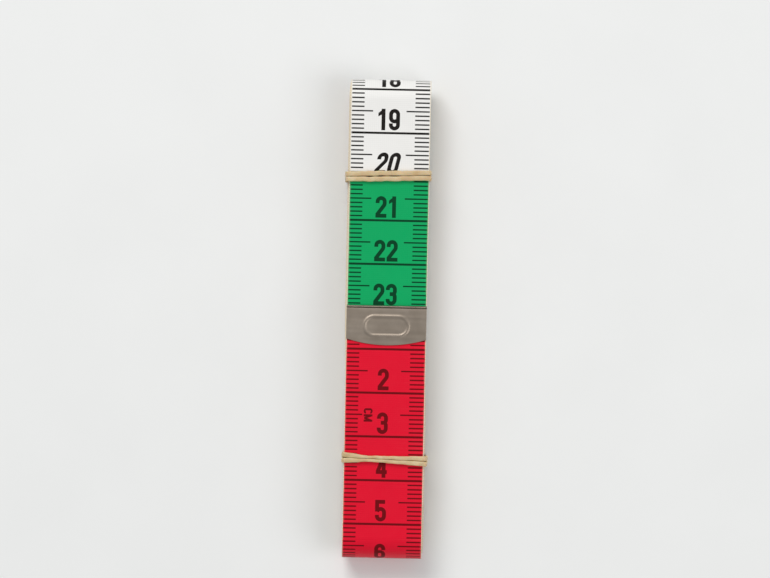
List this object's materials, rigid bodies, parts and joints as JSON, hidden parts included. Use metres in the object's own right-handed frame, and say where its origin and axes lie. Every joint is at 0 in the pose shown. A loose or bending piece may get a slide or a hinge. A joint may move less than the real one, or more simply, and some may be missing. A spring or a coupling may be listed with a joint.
{
  "type": "cloth tape measure",
  "caption": "Coated cloth tape measure wound flat into a hank, with folded metal end tips, held by doubled rubber bands that slide off its ends. Its free end lifts.",
  "frame": {"origin": "under the middle of the hank, on the surface that the bands rest on", "axes": "+Y along the hank towards the upper fold, +X across the tape, +Z out of the hank's front face"},
  "size_m": [0.0226, 0.1096, 0.0119],
  "materials": {
    "tape_white": "satin coated cloth, printed",
    "tape_red": "satin coated cloth, printed",
    "tip_metal": "satin nickel plate",
    "band_rubber": "natural rubber, slightly translucent"
  },
  "bodies": {
    "hank": {"tape_winding": "tape_white", "far_end_tip": "tip_metal"},
    "free_end": {"tape_free_end": "tape_red", "zero_end_tip": "tip_metal"},
    "upper_band": {"upper_rubber_band": "band_rubber"},
    "lower_band": {"lower_rubber_band": "band_rubber"}
  },
  "joints": [
    {"name": "free_end_lift", "type": "hinge", "parent": "hank", "child": "free_end", "pos_m": [0, -0.02994, 0.0108], "axis": [1, 0, 0], "range_deg": [0, 90]},
    {"name": "upper_band_slide", "type": "slide", "parent": "hank", "child": "upper_band", "axis": [0, 1, 0], "range_m": [-0.027, 0.0245]},
    {"name": "lower_band_slide", "type": "slide", "parent": "hank", "child": "lower_band", "axis": [0, -1, 0], "range_m": [0, 0.025]}
  ]
}
